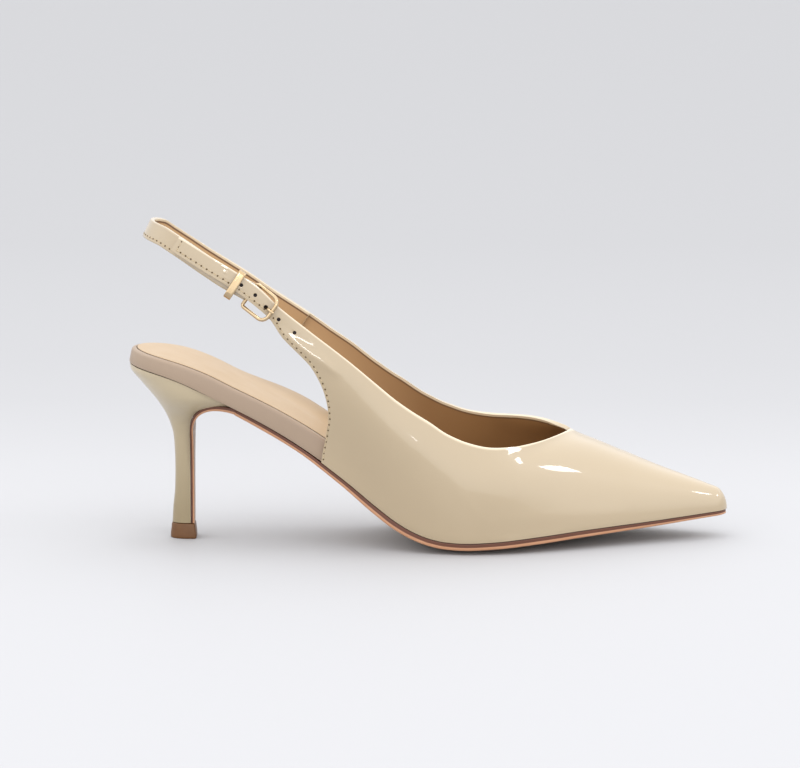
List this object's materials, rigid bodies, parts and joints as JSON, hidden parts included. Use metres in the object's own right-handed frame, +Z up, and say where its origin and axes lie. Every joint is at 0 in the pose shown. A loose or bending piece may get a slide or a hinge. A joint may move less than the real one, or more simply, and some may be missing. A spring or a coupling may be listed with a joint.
{
  "type": "slingback pump",
  "caption": "Pointed-toe pump with a slim heel, open at the back, held by a sling strap that a small buckle fastens at the outer ankle.",
  "frame": {"origin": "on the floor, under the middle of the shoe's bounding box", "axes": "+X towards the toe, +Y towards the inner side of the foot, +Z up"},
  "size_m": [0.2408, 0.0768, 0.1291],
  "materials": {
    "patent_nude": "high gloss patent",
    "sling_leather": "high gloss patent outside, matt lining inside",
    "taupe_rand": "satin",
    "sock_leather": "matt",
    "sole_leather": "satin, edge stained dark above",
    "heel_cover": "semi gloss",
    "brown_top_piece": "satin",
    "gold_metal": "polished pale gold"
  },
  "bodies": {
    "root": {"upper": "patent_nude", "sling_strap": "sling_leather", "insole": "taupe_rand", "sock_lining": "sock_leather", "outsole": "sole_leather", "heel": "heel_cover", "top_piece": "brown_top_piece", "buckle_frame": "gold_metal", "buckle_prong": "gold_metal", "keeper_loop": "gold_metal"}
  },
  "joints": []
}
